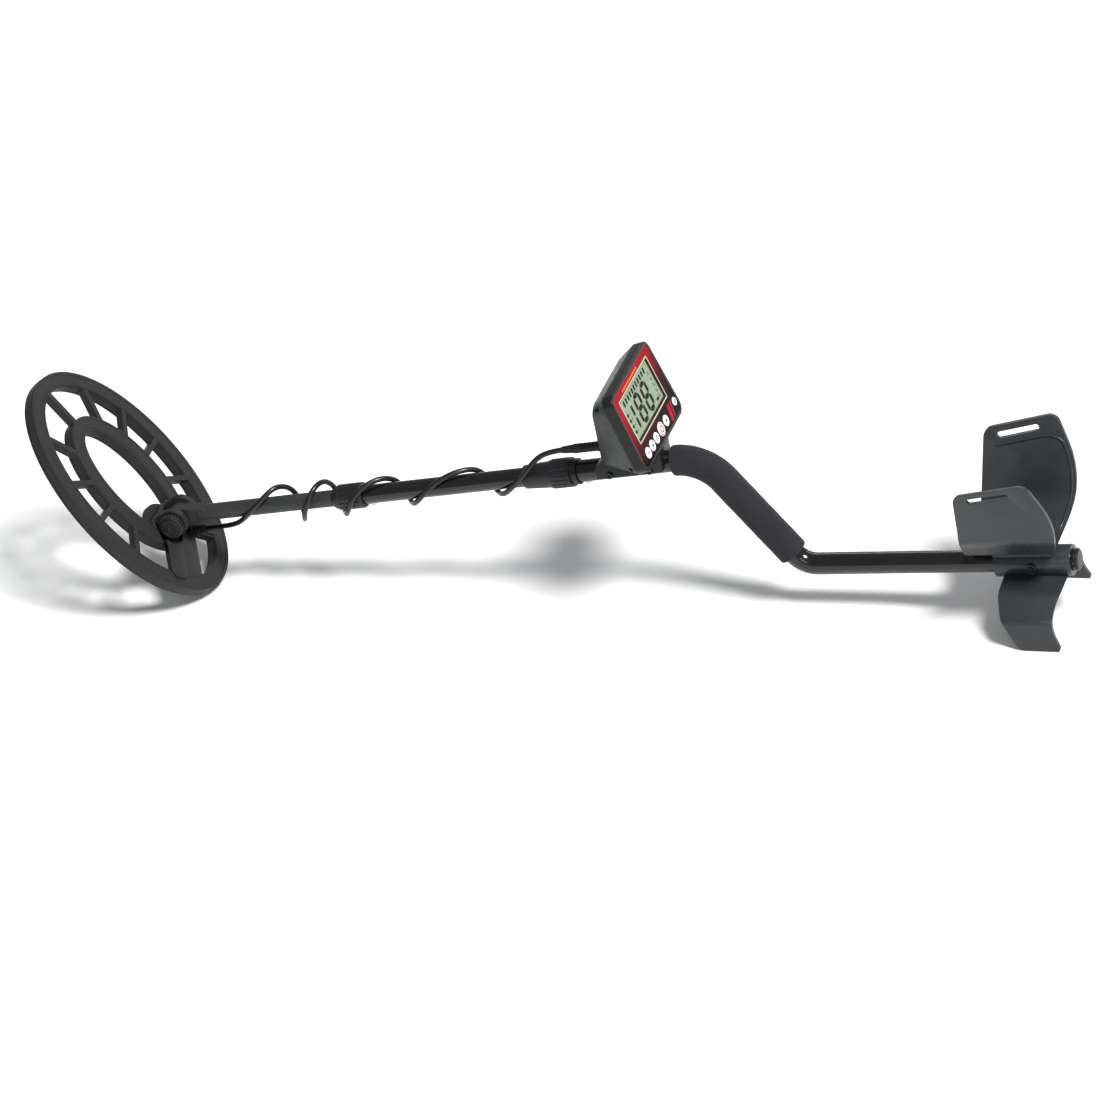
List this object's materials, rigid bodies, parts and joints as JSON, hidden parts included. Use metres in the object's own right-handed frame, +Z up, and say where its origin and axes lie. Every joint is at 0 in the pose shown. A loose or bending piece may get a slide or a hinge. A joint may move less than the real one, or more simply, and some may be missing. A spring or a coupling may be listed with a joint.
{
  "type": "metal detector",
  "caption": "S-rod metal detector: open-frame elliptical coil, telescoping stems with twist locks, display pod with keys, foam grip, armrest and stand.",
  "frame": {"origin": "ground under the middle of the bounding box", "axes": "+X from the search coil towards the armrest, +Y to the user's right, +Z up"},
  "size_m": [1.0828, 0.187, 0.2703],
  "materials": {
    "coil_plastic": "fine moulded texture",
    "copper": "enamelled copper winding",
    "black_rubber": "matte",
    "steel": "satin",
    "black_plastic": "moulded",
    "stem_composite": "matte composite tube",
    "black_tube": "glossy black coated aluminium",
    "foam": "fine-pored foam",
    "grey_plastic": "satin moulded",
    "pod_plastic": "satin moulded",
    "panel": "glossy overlay, red shading to black",
    "clear": "clear window",
    "lcd": "reflective display",
    "board": "circuit board",
    "white_key": "satin rubberised",
    "battery_case": "printed steel case",
    "brass": "spring contact",
    "cable_jacket": "smooth jacket"
  },
  "bodies": {
    "handle": {"s_rod": "black_tube", "foam_grip": "foam", "rod_end_cap": "black_plastic", "upper_collet": "black_plastic", "upper_button_spring": "steel", "armrest": "grey_plastic", "stand": "grey_plastic", "armrest_bolt": "steel", "armrest_nut": "steel", "stand_screw": "steel", "pod_saddle": "pod_plastic", "saddle_screws": "steel", "pod_rear_housing": "pod_plastic", "pod_front_housing": "pod_plastic", "face_panel": "panel", "lcd_window": "clear", "lcd_module": "lcd", "main_circuit_board": "board", "key_board": "board", "speaker": "black_plastic", "pod_screws": "steel", "battery": "battery_case", "battery_contacts": "brass", "cable_socket": "black_plastic", "headphone_jack": "black_plastic", "cable_plug": "black_rubber", "cable_rear": "cable_jacket"},
    "middle": {"middle_stem": "black_tube", "lower_collet": "black_plastic", "lower_button_spring": "steel", "cable_middle": "cable_jacket"},
    "lower": {"lower_stem": "stem_composite", "cable_front": "cable_jacket"},
    "coil": {"coil_housing": "coil_plastic", "coil_bottom_cover": "coil_plastic", "transmit_winding": "copper", "receive_winding": "copper", "coil_cable_gland": "black_rubber", "coil_cover_screws": "steel", "pivot_bolt": "black_plastic", "pivot_washers": "black_rubber"},
    "knob": {"pivot_knob": "black_plastic"},
    "upper_collar": {"upper_lock_collar": "black_plastic"},
    "lower_collar": {"lower_lock_collar": "black_plastic"},
    "upper_button": {"upper_spring_button": "steel"},
    "lower_button": {"lower_spring_button": "steel"},
    "door": {"battery_door": "pod_plastic"},
    "minus_key_cap": {"minus_key": "white_key"},
    "plus_key_cap": {"plus_key": "white_key"},
    "menu_key_cap": {"menu_key": "white_key"},
    "pinpoint_key_cap": {"pinpoint_key": "white_key"},
    "mode_key_cap": {"mode_key": "white_key"},
    "power_key_cap": {"power_key": "white_key"}
  },
  "joints": [
    {"name": "middle_slide", "type": "slide", "parent": "handle", "child": "middle", "axis": [0.989, 0, 0.1478], "range_m": [-0.02, 0.06], "deforming": ["cable_rear"]},
    {"name": "lower_slide", "type": "slide", "parent": "middle", "child": "lower", "axis": [0.989, 0, 0.1478], "range_m": [-0.05, 0.06], "deforming": ["cable_middle"]},
    {"name": "coil_tilt", "type": "hinge", "parent": "lower", "child": "coil", "pos_m": [-0.40817, 0, 0.08339], "axis": [0, 1, 0], "range_deg": [-60, 40], "deforming": ["cable_front"]},
    {"name": "knob_turn", "type": "hinge", "parent": "coil", "child": "knob", "pos_m": [-0.40817, 0, 0.08339], "axis": [0, 1, 0], "continuous": true},
    {"name": "upper_collar_twist", "type": "hinge", "parent": "handle", "child": "upper_collar", "pos_m": [0.0171, 0, 0.14695], "axis": [0.989, 0, 0.1478], "range_deg": [0, 45]},
    {"name": "lower_collar_twist", "type": "hinge", "parent": "middle", "child": "lower_collar", "pos_m": [-0.21037, 0, 0.11295], "axis": [0.989, 0, 0.1478], "range_deg": [0, 45]},
    {"name": "upper_button_press", "type": "slide", "parent": "handle", "child": "upper_button", "axis": [-0.1478, 0, 0.989], "range_m": [0, 0.003], "stiffness_N_per_m": 800, "springref_m": -0.001},
    {"name": "lower_button_press", "type": "slide", "parent": "middle", "child": "lower_button", "axis": [-0.1478, 0, 0.989], "range_m": [0, 0.003], "stiffness_N_per_m": 800, "springref_m": -0.001},
    {"name": "battery_door_hinge", "type": "hinge", "parent": "handle", "child": "door", "pos_m": [0.07877, 0, 0.20427], "axis": [0, -1, 0], "range_deg": [0, 85]},
    {"name": "minus_key_press", "type": "slide", "parent": "handle", "child": "minus_key_cap", "axis": [-0.9511, 0, -0.309], "range_m": [0, 0.001], "stiffness_N_per_m": 900, "springref_m": -0.0005},
    {"name": "plus_key_press", "type": "slide", "parent": "handle", "child": "plus_key_cap", "axis": [-0.9511, 0, -0.309], "range_m": [0, 0.001], "stiffness_N_per_m": 900, "springref_m": -0.0005},
    {"name": "menu_key_press", "type": "slide", "parent": "handle", "child": "menu_key_cap", "axis": [-0.9511, 0, -0.309], "range_m": [0, 0.001], "stiffness_N_per_m": 900, "springref_m": -0.0005},
    {"name": "pinpoint_key_press", "type": "slide", "parent": "handle", "child": "pinpoint_key_cap", "axis": [-0.9511, 0, -0.309], "range_m": [0, 0.001], "stiffness_N_per_m": 900, "springref_m": -0.0005},
    {"name": "mode_key_press", "type": "slide", "parent": "handle", "child": "mode_key_cap", "axis": [-0.9511, 0, -0.309], "range_m": [0, 0.001], "stiffness_N_per_m": 900, "springref_m": -0.0005},
    {"name": "power_key_press", "type": "slide", "parent": "handle", "child": "power_key_cap", "axis": [-0.9511, 0, -0.309], "range_m": [0, 0.001], "stiffness_N_per_m": 900, "springref_m": -0.0005}
  ]
}
